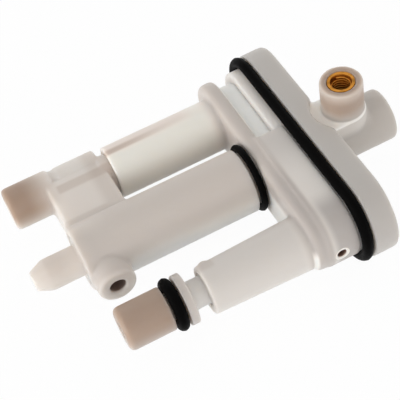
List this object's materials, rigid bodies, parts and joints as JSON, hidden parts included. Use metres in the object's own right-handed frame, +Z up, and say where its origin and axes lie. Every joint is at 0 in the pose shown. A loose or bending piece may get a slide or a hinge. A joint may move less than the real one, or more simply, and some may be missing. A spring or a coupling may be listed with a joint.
{
  "type": "diverter valve",
  "caption": "Boiler diverter valve cartridge: obround sealed head with outlet stub and screw boss, parallel port spigots and a sprung pilot shuttle in a barrel.",
  "frame": {"origin": "centre of the long head seal, on the barrel's axis", "axes": "+X along the barrel to the outlet stub, +Y to the long port, +Z up the screw boss"},
  "size_m": [0.0985, 0.0708, 0.0295],
  "materials": {
    "natural_plastic": "satin",
    "spigot_plastic": "satin",
    "seat_plastic": "satin",
    "black_rubber": "satin",
    "brass": "machined",
    "spring_steel": "bright"
  },
  "bodies": {
    "valve": {"head_block": "natural_plastic", "brass_insert": "brass", "head_o_ring": "black_rubber", "tube_plate": "natural_plastic", "valve_barrel": "natural_plastic", "barrel_o_ring": "black_rubber", "end_cap": "natural_plastic", "cap_o_ring": "black_rubber", "lower_spigot": "spigot_plastic", "spigot_o_ring": "black_rubber", "plug_o_ring": "black_rubber", "stem_guide": "seat_plastic", "guide_o_ring": "black_rubber", "closed_seat": "seat_plastic", "open_seat": "seat_plastic", "return_spring": "spring_steel"},
    "shuttle": {"shuttle_stem": "seat_plastic", "piston": "seat_plastic", "piston_seal": "black_rubber", "piston_clip": "spring_steel", "valve_disc": "black_rubber", "disc_clip": "spring_steel"}
  },
  "joints": [
    {"name": "shuttle_slide", "type": "slide", "parent": "valve", "child": "shuttle", "axis": [1, 0, 0], "range_m": [0, 0.006], "stiffness_N_per_m": 400, "springref_m": -0.004, "deforming": ["return_spring"]}
  ]
}
